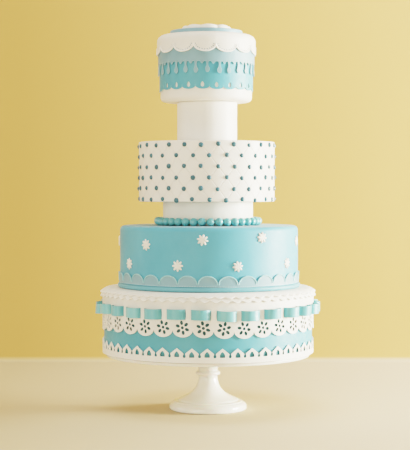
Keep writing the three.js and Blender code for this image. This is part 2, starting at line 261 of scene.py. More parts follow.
class Recipe(Nodes):
    """A Geometry Nodes tree that makes one kind of piece, to the sizes that it is given."""

    KINDS = {
        float: "NodeSocketFloat",
        int: "NodeSocketInt",
        bpy.types.Collection: "NodeSocketCollection",
        bpy.types.Material: "NodeSocketMaterial",
    }

    def __init__(self, name, **sizes):
        super().__init__(bpy.data.node_groups.new(name, "GeometryNodeTree"))
        self.identifiers = {}
        for label, kind in sizes.items():
            socket = self.tree.interface.new_socket(label, in_out="INPUT", socket_type=self.KINDS[kind])
            self.identifiers[label] = socket.identifier
        self.tree.interface.new_socket("Geometry", in_out="OUTPUT", socket_type="NodeSocketGeometry")
        given = self.tree.nodes.new("NodeGroupInput")
        self.size = Sizes(**{label: Wire(self, named(given.outputs, label)) for label in sizes})

    def serve(self, geometry, material):
        """Finish the tree: real mesh, in its material."""
        realized = self.add("GeometryNodeRealizeInstances", Geometry=geometry)
        painted = self.add("GeometryNodeSetMaterial", Geometry=realized, Material=material)
        output = self.tree.nodes.new("NodeGroupOutput")
        self.feed(output.inputs[0], painted)
        return self

    def make(self, name, **values):
        """Run the tree with these sizes and keep the result as a plain mesh."""
        piece = in_scene(name, bpy.data.meshes.new(name))
        modifier = piece.modifiers.new("Recipe", "NODES")
        modifier.node_group = self.tree
        for label, value in values.items():
            modifier[self.identifiers[label]] = value
        evaluated = piece.evaluated_get(bpy.context.evaluated_depsgraph_get())
        mesh = bpy.data.meshes.new_from_object(evaluated)
        piece.modifiers.clear()
        piece.data = mesh
        return piece

    # Steps that several recipes share
    def place(self):
        return self.split(self.add("GeometryNodeInputPosition"))

    def moved(self, geometry, x, y, z):
        return self.add("GeometryNodeSetPosition", Geometry=geometry, Position=self.vector(x, y, z))

    def chance(self, low, high, number, seed):
        """A random value that stays the same for the same number."""
        return self.add("FunctionNodeRandomValue", Min=low, Max=high, ID=number, Seed=seed)

    def repeated(self, pieces, count, seed):
        """A row of pieces, one unit apart along X, each picked at random."""
        step = self.vector(1.0, 0.0, 0.0)
        spots = self.add("GeometryNodeMeshLine", Count=count, Offset=step)
        choices = self.add(
            "GeometryNodeCollectionInfo",
            Collection=pieces, Separate_Children=True, Reset_Children=True,
        )
        pick = self.add("FunctionNodeRandomValue", Min=0, Max=1000, Seed=seed, data_type="INT")
        row = self.add(
            "GeometryNodeInstanceOnPoints",
            Points=spots, Instance=choices, Pick_Instance=True, Instance_Index=pick,
        )
        return self.merged(self.add("GeometryNodeRealizeInstances", Geometry=row))

    def kept(self, geometry, name, value):
        """Keep a value on the points, for the material."""
        return self.add("GeometryNodeStoreNamedAttribute", Geometry=geometry, Name=name, Value=value)

    def merged(self, geometry):
        return self.add("GeometryNodeMergeByDistance", Geometry=geometry, Distance=WELD)

    def thickened(self, geometry, thick, **along):
        """A closed sheet from a bare surface, rising along its normals or along a given offset."""
        raised = self.add(
            "GeometryNodeExtrudeMesh", Mesh=geometry, Offset_Scale=thick, Individual=False, **along
        )
        underside = self.add("GeometryNodeFlipFaces", Mesh=geometry)
        return self.merged(self.add("GeometryNodeJoinGeometry", Geometry=[raised, underside]))

    def without_ends(self, geometry, length):
        """Take away the two end walls of a strip, which meet each other on the cake."""
        x, _, _ = self.place()
        at_end = self.math("ABSOLUTE", x - length * 0.5) > length * 0.5 - 1e-4
        return self.add("GeometryNodeDeleteGeometry", Geometry=geometry, Selection=at_end, domain="FACE")

    def wavered(self, y, angle, waver):
        """A hand-laid strip isn't quite level: three slow waves and seven small ones in a turn."""
        slow = self.math("SINE", angle * 3.0 + 3.7)
        quick = self.math("SINE", angle * 7.0 + 2.4)
        return y + waver * (slow + quick * 0.6)

    def wrapped(self, geometry, size):
        """Lay a flat strip round a tier, over its shoulder if it is that high, its hem curling out."""
        x, y, lift = self.place()
        angle = x * (TURN / size.Count) + size.Phase
        near_hem = self.math("MAXIMUM", 1.0 - self.math("ABSOLUTE", y - size.Hem) / CURL, 0.0)
        lift = lift + near_hem * near_hem * size.Flare
        y = self.wavered(y, angle, size.Waver)
        shoulder, edge = size.Shoulder, size.Edge
        above = y - shoulder
        bend = self.math("MINIMUM", self.math("MAXIMUM", above / edge, 0.0), math.pi / 2)
        inward = self.math("MAXIMUM", above - edge * (math.pi / 2), 0.0)
        inset = edge * (1.0 - self.math("COSINE", bend)) + inward
        reach = size.Radius - inset + lift * self.math("COSINE", bend)
        height = self.math("MINIMUM", y, shoulder) + (edge + lift) * self.math("SINE", bend)
        across = reach * self.math("SINE", angle) + size.Sway
        return self.moved(geometry, across, reach * self.math("COSINE", angle) * -1.0, height)

    def crisp(self, geometry):
        """Smooth faces, with hard edges only where the surface turns sharply."""
        smooth = self.add("GeometryNodeSetShadeSmooth", Geometry=geometry, Shade_Smooth=True)
        turn = self.add("GeometryNodeInputMeshEdgeAngle", output="Unsigned Angle")
        return self.add(
            "GeometryNodeSetShadeSmooth",
            Geometry=smooth, Selection=turn > CUT_CREASE, Shade_Smooth=False, domain="EDGE",
        )


# Recipes
WRAPPING = {
    "Pieces": bpy.types.Collection, "Count": int, "Material": bpy.types.Material,
    **dict.fromkeys(("Radius", "Phase", "Sway", "Shoulder", "Edge", "Waver", "Hem", "Flare"), float),
}


def upright(hem=0.0, flare=0.0):
    """Sizes of a strip that stays on a tier's side, its hem curling out by the flare."""
    return {"Shoulder": NO_SHOULDER, "Edge": 1.0, "Hem": hem, "Flare": flare}


def strip_recipe():
    """A strip of cut paste: one or more flat repeats, in a row, wrapped round a tier."""
    recipe = Recipe("Cut strip", Seed=int, Thickness=float, **WRAPPING)
    size = recipe.size
    row = recipe.repeated(size.Pieces, size.Count, size.Seed)
    solid = recipe.thickened(row, size.Thickness, Offset=(0.0, 0.0, 1.0))
    strip = recipe.without_ends(solid, size.Count)
    return recipe.serve(recipe.crisp(recipe.merged(recipe.wrapped(strip, size))), size.Material)


def rim_recipe():
    """A thin rolled rim that follows one edge of a strip round a tier."""
    recipe = Recipe("Rolled rim", Rim=float, **WRAPPING)
    size = recipe.size
    row = recipe.repeated(size.Pieces, size.Count, 0)
    line = recipe.merged(recipe.wrapped(row, size))
    path = recipe.add("GeometryNodeMeshToCurve", Mesh=line)
    section = recipe.add("GeometryNodeCurvePrimitiveCircle", Resolution=7, Radius=size.Rim)
    rim = recipe.add("GeometryNodeCurveToMesh", Curve=path, Profile_Curve=section, Fill_Caps=True)
    return recipe.serve(recipe.crisp(rim), size.Material)


def ribbon_recipe():
    """A ribbon that runs behind the bars and bows out between them."""
    recipe = Recipe(
        "Threaded ribbon", Count=int, Seed=int, Radius=float, Middle=float, Width=float, Bulge=float,
        Share=float, Thickness=float, Phase=float, Waver=float, Material=bpy.types.Material,
    )
    size = recipe.size
    steps_along, steps_across = 32, 8
    grid = recipe.add(
        "GeometryNodeMeshGrid", "Mesh", Size_X=size.Count, Size_Y=size.Width,
        Vertices_X=size.Count * steps_along + 1, Vertices_Y=steps_across + 1,
    )
    x, y, _ = recipe.place()
    along = x + size.Count * 0.5
    nearest = recipe.math("ROUND", along)
    loop = recipe.math("MODULO", nearest, size.Count)
    bulge = recipe.chance(0.84, 1.0, loop, size.Seed)
    lean = recipe.chance(-0.16, 0.16, loop, size.Seed + 1)
    slip = recipe.chance(-0.8 * MM, 0.8 * MM, loop, size.Seed + 2)
    twist = recipe.chance(-0.10, 0.10, loop, size.Seed + 3)
    side = (along - nearest) * 2.0
    free = 1.0 - side * side
    leaned = side + lean * free
    reach = recipe.math("POWER", recipe.math("ABSOLUTE", leaned / size.Share), 2.2)
    arch = recipe.math("SQRT", recipe.math("MAXIMUM", 1.0 - reach, 0.0))
    lift = arch * bulge * (1.0 + twist * (y / size.Width)) * size.Bulge
    toned = recipe.kept(grid, "tone", recipe.chance(0.0, 1.0, loop, size.Seed + 4))
    # How near a bar each point lies, for the painted shade where the ribbon turns in
    toned = recipe.kept(toned, "turned_in", recipe.math("ABSOLUTE", side))
    flat = recipe.moved(toned, along, y + size.Middle + slip * free, lift)
    vars(size).update(Sway=0.0, **upright())
    band = recipe.merged(recipe.wrapped(flat, size))
    return recipe.serve(recipe.crisp(recipe.thickened(band, size.Thickness)), size.Material)


def beads_recipe():
    """Rows of sugar beads round a tier, every second row shifted by half a bead, none quite in line."""
    recipe = Recipe(
        "Sugar beads", Columns=int, Rows=int, Seed=int, Segments=int, Ring=float, Low=float, High=float,
        Bead=float, Spread=float, Stray=float, Phase=float, Sway=float, Material=bpy.types.Material,
    )
    size = recipe.size
    grid = recipe.add(
        "GeometryNodeMeshGrid", "Mesh", Size_X=size.Columns - 1, Size_Y=size.Rows - 1,
        Vertices_X=size.Columns, Vertices_Y=size.Rows,
    )
    spots = recipe.add("GeometryNodeMeshToPoints", Mesh=grid)
    x, y, _ = recipe.place()
    column = x + (size.Columns - 1) * 0.5
    row = recipe.math("ROUND", y + (size.Rows - 1) * 0.5)
    number = recipe.add("GeometryNodeInputIndex")
    stray = size.Stray
    aside = recipe.chance(-1.0, 1.0, number, size.Seed) * stray
    up = recipe.chance(-1.0, 1.0, number, size.Seed + 1) * stray
    shift = recipe.math("MODULO", size.Rows - 1 - row, 2.0) * 0.5
    angle = (column + shift) * TURN / size.Columns + size.Phase + aside / size.Ring
    step = (size.High - size.Low) / recipe.math("MAXIMUM", size.Rows - 1, 1.0)
    across = size.Ring * recipe.math("SINE", angle) + size.Sway
    deep = size.Ring * recipe.math("COSINE", angle) * -1.0
    placed = recipe.moved(spots, across, deep, size.Low + row * step + up)
    ball = recipe.add(
        "GeometryNodeMeshUVSphere", "Mesh",
        Segments=size.Segments, Rings=size.Segments * 0.6, Radius=size.Bead,
    )
    grown = recipe.chance(1.0 - size.Spread, 1.0 + size.Spread, number, size.Seed + 2)
    squat = recipe.vector(grown, grown, grown * 0.97)
    spin = recipe.vector(0.0, 0.0, number * 1.3)
    beads = recipe.add(
        "GeometryNodeInstanceOnPoints", Points=placed, Instance=ball, Rotation=spin, Scale=squat
    )
    beads = recipe.add("GeometryNodeRealizeInstances", Geometry=beads)
    return recipe.serve(recipe.add("GeometryNodeSetShadeSmooth", Geometry=beads), size.Material)


# Flat shapes, cut from thin paste
def ellipse(x, y, across, up, turn=0.0, sides=14):
    """The outline of a hole."""
    outline = []
    cosine, sine = math.cos(turn), math.sin(turn)
    for i in range(sides):
        angle = TURN * i / sides
        a, b = across * math.cos(angle), up * math.sin(angle)
        outline.append((x + a * cosine - b * sine, y + a * sine + b * cosine))
    return outline


def scallop(width, cusp, tip, steps=22):
    """Half an ellipse from cusp to cusp, from left to right."""
    angles = [math.pi * i / steps for i in range(steps + 1)]
    return [(width / 2 * (1 - math.cos(a)), cusp + (tip - cusp) * math.sin(a)) for a in angles]


def mirrored(half, width):
    """An outline from one side of a repeat to its middle, and on to the other side."""
    return half + [(width - x, y) for x, y in reversed(half[:-1])]


def straight(width, y, steps=8):
    return [(width * i / steps, y) for i in range(steps + 1)]


def flowing(points):
    """A smooth line through points."""
    line = []
    last, steps = len(points) - 1, 4
    for i in range(last):
        before, a, b, after = points[max(i - 1, 0)], points[i], points[i + 1], points[min(i + 2, last)]
        for k in range(steps):
            t = k / steps
            weights = (
                (-t + 2 * t ** 2 - t ** 3) / 2,
                (2 - 5 * t ** 2 + 3 * t ** 3) / 2,
                (t + 4 * t ** 2 - 3 * t ** 3) / 2,
                (-(t ** 2) + t ** 3) / 2,
            )
            corners = (before, a, b, after)
            line.append(tuple(sum(w * c[axis] for w, c in zip(weights, corners)) for axis in (0, 1)))
    return line + [points[-1]]


def sides_of(loop, closed=False):
    return list(zip(loop, loop[1:] + loop[:1])) if closed else list(zip(loop, loop[1:]))


def distance(point, side):
    (x, y), ((ax, ay), (bx, by)) = point, side
    dx, dy = bx - ax, by - ay
    share = ((x - ax) * dx + (y - ay) * dy) / max(dx * dx + dy * dy, 1e-18)
    share = min(1.0, max(0.0, share))
    return math.hypot(x - ax - share * dx, y - ay - share * dy)


def within(point, sides):
    """Whether a point lies inside the outline and outside its holes."""
    x, y = point
    crossings = 0
    for (ax, ay), (bx, by) in sides:
        if (ay > y) != (by > y) and x < ax + (y - ay) / (by - ay) * (bx - ax):
            crossings += 1
    return crossings % 2 == 1


def beside(side, depth):
    """The point beside the middle of a side, on its left."""
    (ax, ay), (bx, by) = side
    length = math.hypot(bx - ax, by - ay)
    return ((ax + bx) / 2 - (by - ay) / length * depth, (ay + by) / 2 + (bx - ax) / length * depth)


def cut_shape(width, lower, upper, holes=(), plain_upper=True, step=4 * MM):
    """One repeat of a strip, flat and one unit wide. Its cut edges carry "cut", which paints them paler: a
    painted highlight along the cut, and the drier paste there.
    """
    rungs = round((upper[0][1] - lower[0][1]) / step)
    heights = [lower[0][1] + (upper[0][1] - lower[0][1]) * i / (rungs + 1) for i in range(1, rungs + 1)]
    outline = lower + [(width, y) for y in heights] + upper[::-1] + [(0.0, y) for y in reversed(heights)]
    loops = [outline, *holes]
    sides = [side for loop in loops for side in sides_of(loop, closed=True)]
    cut_sides = sides_of(lower) + [side for hole in holes for side in sides_of(hole[::-1], closed=True)]
    if not plain_upper:
        cut_sides += sides_of(upper[::-1])
    extra = [beside(side, CUT_EDGE) for side in cut_sides]
    low, high = min(y for _, y in outline), max(y for _, y in outline)
    columns, rows = max(2, round(width / step)), max(2, round((high - low) / step))
    for i in range(columns):
        for k in range(rows):
            extra.append((width * (i + 0.5) / columns, low + (high - low) * (k + 0.5) / rows))
    points, edges = [], []
    for loop in loops:
        first, count = len(points), len(loop)
        points += loop
        edges += [(first + i, first + (i + 1) % count) for i in range(count)]
    marked = {i for i, point in enumerate(points) if any(distance(point, side) < 1e-9 for side in cut_sides)}
    clear = CUT_EDGE * 0.7
    points += [p for p in extra if within(p, sides) and min(distance(p, side) for side in sides) > clear]
    corners, _, faces, origins, _, _ = delaunay_2d_cdt([Vector(p) for p in points], edges, [], 1, 1e-9)
    kept = [face for face in faces if within(sum((corners[i] for i in face), Vector((0, 0))) / 3, sides)]
    mesh = bpy.data.meshes.new("repeat")
    mesh.from_pydata([(p.x / width, p.y, 0.0) for p in corners], [], kept)
    mesh.attributes.new("cut", "FLOAT", "POINT")
    for i, came_from in enumerate(origins):
        mesh.attributes["cut"].data[i].value = float(any(n in marked for n in came_from))
    return mesh


def edge_line(width, line):
    """One repeat of an edge, as a line for a rolled rim to follow."""
    mesh = bpy.data.meshes.new("edge")
    mesh.from_pydata([(x / width, y, 0.0) for x, y in line], [(i, i + 1) for i in range(len(line) - 1)], [])
    return mesh


def pieces_of(name, meshes):
    """The repeats that a strip picks from."""
    collection = bpy.data.collections.new(name)
    for i, mesh in enumerate(meshes):
        collection.objects.link(bpy.data.objects.new(f"{name}_{i}", mesh))
    return collection


# Turned and petalled shapes
def rounded(corners, steps=6):
    """A profile of (radius, z, rounding) corners, bottom to top, with each corner rounded off."""
    line = []
    for i, (radius, z, rounding) in enumerate(corners):
        here = Vector((radius, z))
        if rounding == 0:
            line.append(here)
            continue
        before, after = Vector(corners[i - 1][:2]), Vector(corners[i + 1][:2])
        start = here + (before - here).normalized() * min(rounding, (before - here).length * 0.49)
        end = here + (after - here).normalized() * min(rounding, (after - here).length * 0.49)
        for k in range(steps + 1):
            t = k / steps
            line.append(start * (1 - t) ** 2 + here * (2 * t * (1 - t)) + end * t ** 2)
    return [(point.x, point.y) for point in line]


def turned(name, profile, material, sway=0.0, sides=SIDES, uneven=0.0):
    """A solid turned from a profile of (radius, z) that starts and ends on the axis."""
    vertices, faces = [], []
    rings = profile[1:-1]
    for radius, z in rings:
        for i in range(sides):
            angle = TURN * i / sides
            place = Vector((math.sin(angle) * 4, math.cos(angle) * 4, z * 12))
            reach = radius + uneven * noise.noise(place)
            vertices.append((reach * math.sin(angle) + sway, -reach * math.cos(angle), z))
    for k in range(len(rings) - 1):
        for i in range(sides):
            j = (i + 1) % sides
            faces.append((k * sides + i, k * sides + j, (k + 1) * sides + j, (k + 1) * sides + i))
    bottom, top = len(vertices), len(vertices) + 1
    vertices += [(sway, 0.0, profile[0][1]), (sway, 0.0, profile[-1][1])]
    last = (len(rings) - 1) * sides
    for i in range(sides):
        j = (i + 1) % sides
        faces.append((bottom, j, i))
        faces.append((last + i, last + j, top))
    return plain_piece(name, vertices, faces, material)


def hoop(name, sections, material, sway=0.0):
    """A closed ring through sections of (radius, z), one at each angle."""
    count, corners = len(sections), len(sections[0])
    vertices, faces = [], []
    for i, section in enumerate(sections):
        angle = TURN * i / count
        vertices += [(reach * math.sin(angle) + sway, -reach * math.cos(angle), z) for reach, z in section]
        here, there = i * corners, (i + 1) % count * corners
        for k in range(corners):
            up = (k + 1) % corners
            faces.append((here + k, there + k, there + up, here + up))
    return plain_piece(name, vertices, faces, material)


def plain_piece(name, vertices, faces, material):
    mesh = bpy.data.meshes.new(name)
    mesh.from_pydata(vertices, [], faces)
    mesh.shade_smooth()
    mesh.set_sharp_from_angle(angle=TURNED_CREASE)
    mesh.materials.append(material)
    return in_scene(name, mesh)


def petalled(name, radius_at, height_at, facing, material, columns, rings=10):
    """A paste shape with petals: radius_at(angle), and height_at(angle, share), the share running from 0 in
    the middle to 1 at the rim. facing turns a flat (x, y, height) into place."""
    angles = [TURN * i / columns for i in range(columns)]

    def ring(share, height):
        for angle in angles:
            reach = radius_at(angle) * share
            vertices.append(facing(reach * math.cos(angle), reach * math.sin(angle), height(angle, share)))

    vertices = [facing(0.0, 0.0, 0.0), facing(0.0, 0.0, height_at(0.0, 0.0))]
    for k in range(1, rings + 1):
        ring(1 - (1 - k / rings) ** 1.5, height_at)
    edge = len(vertices)
    ring(0.97, lambda angle, share: 0.0)
    faces = []
    for i in range(columns):
        j = (i + 1) % columns
        faces.append((1, 2 + i, 2 + j))
        for k in range(rings):
            low, high = 2 + k * columns, 2 + (k + 1) * columns
            faces.append((low + i, high + i, high + j, low + j))
        faces.append((edge + j, edge + i, 0))
    return plain_piece(name, vertices, faces, material)


# Materials
def colour(parts):
    """An sRGB colour, each part from 0 to 255, as a shader takes it."""
    def linear(part):
        part = part / 255
        return part / 12.92 if part <= 0.04045 else ((part + 0.055) / 1.055) ** 2.4
    return (*[linear(part) for part in parts], 1.0)


class Finish(Nodes):
    """A material, and the name of its slot if it has one. Its pattern is on Object coordinates."""

    def __init__(self, name, slot=None):
        self.slot = slot
        self.material = bpy.data.materials.new(name)
        self.material.use_nodes = True
        super().__init__(self.material.node_tree)
        self.shader = self.tree.nodes["Principled BSDF"]
        self.place = self.add("ShaderNodeTexCoord", output="Object")

    def set(self, **values):
        for label, value in values.items():
            self.feed(named(self.shader.inputs, label.replace("_", " ")), value)

    def given(self, label):
        """What feeds a part of the shader so far."""
        return Wire(self, self.shader.inputs[label].links[0].from_socket)

    def grain(self, scale, detail=4.0):
        """A noise of so many marks to the metre."""
        return self.add(
            "ShaderNodeTexNoise", "Fac", Vector=self.place, Scale=scale, Detail=detail, Roughness=0.5
        )

    def mixed(self, share, low, high):
        """A colour between two, each given as sRGB parts or as a wire."""
        low, high = [one if isinstance(one, Wire) else colour(one) for one in (low, high)]
        return self.add("ShaderNodeMix", "Result", data_type="RGBA", Factor=share, A=low, B=high)

    def mottled(self, scale, plain, deep):
        return self.mixed(self.ranged(self.grain(scale), 0.0, 1.0), plain, deep)

    def kept(self, name):
        """A value that a recipe or a cut shape keeps on the points."""
        return self.add("ShaderNodeAttribute", output="Fac", attribute_name=name)

    def ranged(self, value, low, high, start=0.3, end=0.7):
        return self.add(
            "ShaderNodeMapRange",
            Value=value, From_Min=start, From_Max=end, To_Min=low, To_Max=high,
        )

    def clear_from_behind(self):
        """Let a camera on the far side look through."""
        far_side = self.add("ShaderNodeNewGeometry", output="Backfacing")
        seen = self.add("ShaderNodeLightPath", output="Is Camera Ray")
        mix = self.tree.nodes.new("ShaderNodeMixShader")
        clear = self.add("ShaderNodeBsdfTransparent")
        for socket, value in zip(mix.inputs, (far_side * seen, Wire(self, self.shader.outputs[0]), clear)):
            self.feed(socket, value)
        self.tree.links.new(mix.outputs[0], self.tree.nodes["Material Output"].inputs["Surface"])

    def bumped(self, height, distance, strength, **under):
        return self.add("ShaderNodeBump", Height=height, Distance=distance, Strength=strength, **under)


def paste(name, slot, plain, deep, edge):
    """Rolled sugar paste: faint mottling, a powdery grain, slight waves from the rolling and paler cut
    edges, which are a painted highlight as well as the drier paste there.
    """
    finish = Finish(name, slot)
    # The cut edges take the paler edge tone: painted highlight, and the drier paste there
    finish.set(
        Base_Color=finish.mixed(finish.kept("cut"), finish.mottled(22.0, plain, deep), edge),
        Roughness=finish.ranged(finish.grain(160.0), 0.44, 0.58),
        Subsurface_Weight=0.12,
        Subsurface_Radius=(0.6, 0.5, 0.4),
        Subsurface_Scale=0.004,
        Sheen_Weight=0.16,
        Sheen_Roughness=0.45,
    )
    waves = finish.bumped(finish.grain(34.0, 2.0), 0.0012, 0.35)
    fine = finish.bumped(finish.grain(900.0, 3.0), 0.00025, 0.28, Normal=waves)
    finish.set(Normal=fine)
    return finish


def quilted(finish, spots):
    """Press the diagonal quilting lines into a tier's paste, through the places of its beads."""
    groove = 1.1 * MM
    x, y, z = finish.split(finish.place)
    angle = finish.math("ARCTAN2", x - TIER_3.sway, y * -1.0)
    across = (angle - spots.phase) * (spots.columns / TURN)
    drop = (spots.high - spots.low) / (spots.rows - 1)
    down = (spots.high - z) / (drop * 2)
    pitch = TURN * TIER_3.radius / spots.columns
    slant = 2 * drop / math.hypot(pitch, 2 * drop)
    lines = []
    for leaning in (across + down, across - down):
        off = finish.math("ABSOLUTE", finish.math("FRACT", leaning + 100.5) - 0.5)
        lines.append(finish.math("MINIMUM", off * (pitch * slant / groove), 1.0))
    relief = finish.math("MINIMUM", *lines)
    finish.set(Normal=finish.bumped(relief, 0.0009, 0.6, Normal=finish.given("Normal")))


def painted_shade_below(finish, low, high, deep):
    """Paste painted darker up to a height: painted shade."""
    _, _, z = finish.split(finish.place)
    unshaded = finish.ranged(z, 0.0, 1.0, low, high)
    finish.set(Base_Color=finish.mixed(unshaded, deep, finish.given("Base Color")))


def satin(name, deep, plain, pale):
    """A thin satin ribbon, ribbed along its width, paler on some loops, with painted shade where it turns in
    behind the bars.
    """
    finish = Finish(name, "ribbon_paste")
    _, _, z = finish.split(finish.place)
    ribs = finish.math("SINE", z * (TURN / (0.9 * MM)))
    cloud = finish.ranged(finish.grain(45.0), -0.15, 0.15) + finish.kept("tone")
    loop = finish.mixed(cloud, plain, pale)
    # The deep colour is painted shade where the ribbon turns in behind the bars
    finish.set(
        Base_Color=finish.mixed(finish.ranged(finish.kept("turned_in"), 0.0, 0.7, 0.60, 0.85), loop, deep),
        Roughness=finish.ranged(finish.grain(120.0), 0.30, 0.42),
        Sheen_Weight=0.3,
        Specular_IOR_Level=0.6,
        Normal=finish.bumped(ribs, 0.0001, 0.25),
    )
    return finish


def sugar_bead(name, plain, deep, roughness):
    """A rolled sugar bead with a soft, slightly cloudy shine."""
    finish = Finish(name, "sugar_pearl")
    finish.set(
        Base_Color=finish.mottled(120.0, plain, deep),
        Roughness=finish.ranged(finish.grain(300.0), roughness - 0.05, roughness + 0.08),
        Subsurface_Weight=0.1,
        Subsurface_Scale=0.003,
        Coat_Weight=0.4,
        Coat_Roughness=0.16,
        Normal=finish.bumped(finish.grain(500.0, 2.0), 0.0003, 0.3),
    )
    return finish


def milk_glass(name, plain, deep):
    """Pressed milk glass: a deep gloss over slightly uneven white."""
    finish = Finish(name, "milk_glass")
    finish.set(
        Base_Color=finish.mottled(14.0, plain, deep),
        Roughness=finish.ranged(finish.grain(60.0), 0.10, 0.20),
        Subsurface_Weight=0.2,
        Subsurface_Scale=0.006,
        Coat_Weight=0.5,
        Coat_Roughness=0.06,
        Normal=finish.bumped(finish.grain(40.0, 2.0), 0.0008, 0.25),
    )
    return finish


# The third tone of each paste is that of its cut edges: painted highlight along the cut, and the drier paste
# there
WHITE_TONES = ((241, 239, 234), (236, 233, 227), (248, 247, 244))
WHITE = paste("White paste", "white_paste", *WHITE_TONES)
QUILTED = paste("Quilted white paste", "white_paste", *WHITE_TONES)
quilted(QUILTED, DRAGEE)
BLUE = paste("Blue paste", "blue_paste", (97, 173, 198), (88, 165, 191), (128, 192, 210))
TEAL = paste("Teal paste", "blue_paste", (94, 170, 190), (85, 161, 183), (122, 188, 202))
# Painted shade low on the teal band, seen through the picket lace's house holes and the gaps between its
# pickets
painted_shade_below(TEAL, 108 * MM, 117 * MM, (62, 124, 132))
# A dark teal for the painted shade behind the lace's holes
SHADOW_TEAL = paste("Damp teal paste", "blue_paste", (54, 102, 108), (46, 92, 98), (54, 102, 108))
PALE_BLUE = paste(
    "Pale grey-blue paste", "pale_blue_paste", (134, 173, 188), (126, 166, 182), (166, 201, 212)
)
ROPE_BLUE = paste("Rolled rope paste", "blue_paste", (112, 174, 189), (104, 168, 184), (130, 186, 199))
# The rims are paler than the paste under them: painted highlight along each rolled rim
HIGHLIGHT_RIM_BLUE = paste("Rolled rim paste", "pale_blue_paste", (152, 202, 210), (146, 197, 206), (152, 202, 210))
HIGHLIGHT_RIM_WHITE = paste("Rolled white rim paste", "white_paste", (250, 249, 246), (247, 245, 241), (250, 249, 246))
# Its first colour is painted shade, where the ribbon turns in behind the bars
SATIN = satin("Satin ribbon", (80, 155, 168), (97, 173, 186), (126, 197, 206))
PEARL_SUGAR = sugar_bead("Pearl sugar", (128, 194, 200), (112, 184, 192), 0.28)
DRAGEE_SUGAR = sugar_bead("Bead sugar", (70, 118, 134), (52, 98, 112), 0.30)
GLASS = milk_glass("Milk glass", (243, 242, 236), (238, 236, 229))


# Pieces
STRIP = strip_recipe()
ROLLED_RIM = rim_recipe()
RIBBON_RECIPE = ribbon_recipe()
BEADS = beads_recipe()


def dress(piece, finish, node):
    """Give a finished piece its body and hide the node that it stands for. The finish is not used."""
    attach(piece, "root")
    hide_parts(node)


def lay(recipe, name, node, repeats, trim, finish, **sizes):
    """Lay a trim's repeats round a tier, upright unless the sizes say otherwise."""
    piece = recipe.make(
        name, Pieces=pieces_of(name, repeats), Count=trim.count, Phase=trim.phase,
        Material=finish.material, **{**upright(), **sizes},
    )
    dress(piece, finish, node)


def stand():
    profile = rounded([(radius * MM, z * MM, bevel * MM) for radius, z, bevel in STAND_CORNERS])
    dress(turned("glass_stand", profile, GLASS.material, sides=160), GLASS, "cake_stand")


def drum(name, tier, edge, finish, foot_edge=2 * MM, uneven=0.5 * MM, radius=None):
    """A round covered in paste, with a soft top edge, in the place of the tier's node."""
    radius = radius or tier.radius
    base, top = tier.base, tier.top
    corners = [(0.0, base, 0), (radius, base, foot_edge), (radius, (base + top) / 2, 0), (radius, top, edge)]
    profile = rounded(corners + [(0.0, top, 0)], steps=10)
    dress(turned(name, profile, finish.material, tier.sway, uneven=uneven), finish, tier.node)


def blue_band():
    low, high, inner = BLUE_BAND.low, BLUE_BAND.high, TIER_1_SIDE + 0.1 * MM
    outer = inner + BLUE_BAND.thick
    section = [(inner, low), (outer, low), (outer, high), (inner, high)]
    dress(hoop("band_round_tier_1", [section] * SIDES, TEAL.material), TEAL, "tier_1_blue_band")


def rosette(x, y, turn):
    """Six petal holes round a small one."""
    holes = [ellipse(x, y, EYELET.middle, EYELET.middle, sides=12)]
    for i in range(EYELET.petals):
        angle = turn + TURN * i / EYELET.petals
        centre = (x + EYELET.ring * math.cos(angle), y + EYELET.ring * math.sin(angle))
        holes.append(ellipse(*centre, EYELET.long, EYELET.wide, angle))
    return holes


def eyelet_lace():
    """Scallops, each with a rosette that lies a little its own way and stays under the seam."""
    width = TURN * TIER_1_TRIM / LACE.count
    edge, seam = scallop(width, LACE.cusp, LACE.tip), straight(width, LACE.join)
    chance = random.Random(5)
    shapes = []
    for _ in range(8):
        x = width / 2 + chance.uniform(-0.4, 0.4) * MM
        y = LACE.eye + chance.uniform(-0.5, 0.3) * MM
        turn = chance.uniform(0, TURN)
        highest = max(up for hole in rosette(x, y, turn) for _, up in hole)
        holes = rosette(x, min(y, y + LACE.join - 0.5 * MM - highest), turn)
        shapes.append(cut_shape(width, edge, seam, holes))
    lay(
        STRIP, "eyelet_lace", "tier_1_eyelet_lace", shapes, LACE, WHITE, Seed=4, Radius=TIER_1_TRIM,
        Thickness=PASTE, Waver=LACE.waver, **upright(LACE.tip, 0.5 * MM),
    )


def beading_lace():
    """The upper part of the lace, with a slot on each side of every bar."""
    width = TURN * TIER_1_TRIM / BEADING.count
    bar, slot, height = BEADING.bar, BEADING.slot, BEADING.height
    places = (width / 2 - bar - slot / 2, width / 2 + bar + slot / 2)
    slots = [ellipse(x, RIBBON.middle, slot / 2, height / 2, sides=20) for x in places]
    shape = cut_shape(width, straight(width, LACE.join), straight(width, BEADING.top), slots)
    lay(
        STRIP, "beading_lace", "tier_1_eyelet_lace", [shape], BEADING, WHITE, Radius=TIER_1_TRIM,
        Thickness=PASTE, Waver=LACE.waver,
    )


def lace_backing():
    """A dark round behind each rosette, which shows through its holes as painted shade."""
    width = TURN * TIER_1_TRIM / LACE.count
    middle = (width / 2, LACE.eye - SHADE_DISC.below)
    sides = 24
    corners = [middle] + ellipse(*middle, SHADE_DISC.radius, SHADE_DISC.radius, sides=sides)
    mesh = bpy.data.meshes.new("shade_disc")
    faces = [(0, 1 + i, 1 + (i + 1) % sides) for i in range(sides)]
    mesh.from_pydata([(x / width, y, 0.0) for x, y in corners], [], faces)
    lay(
        STRIP, "lace_backing", "tier_1_blue_band", [mesh], LACE, SHADOW_TEAL, Radius=TIER_1_TRIM - 1.2 * MM,
        Thickness=SHADE_DISC.thick, Waver=LACE.waver,
    )


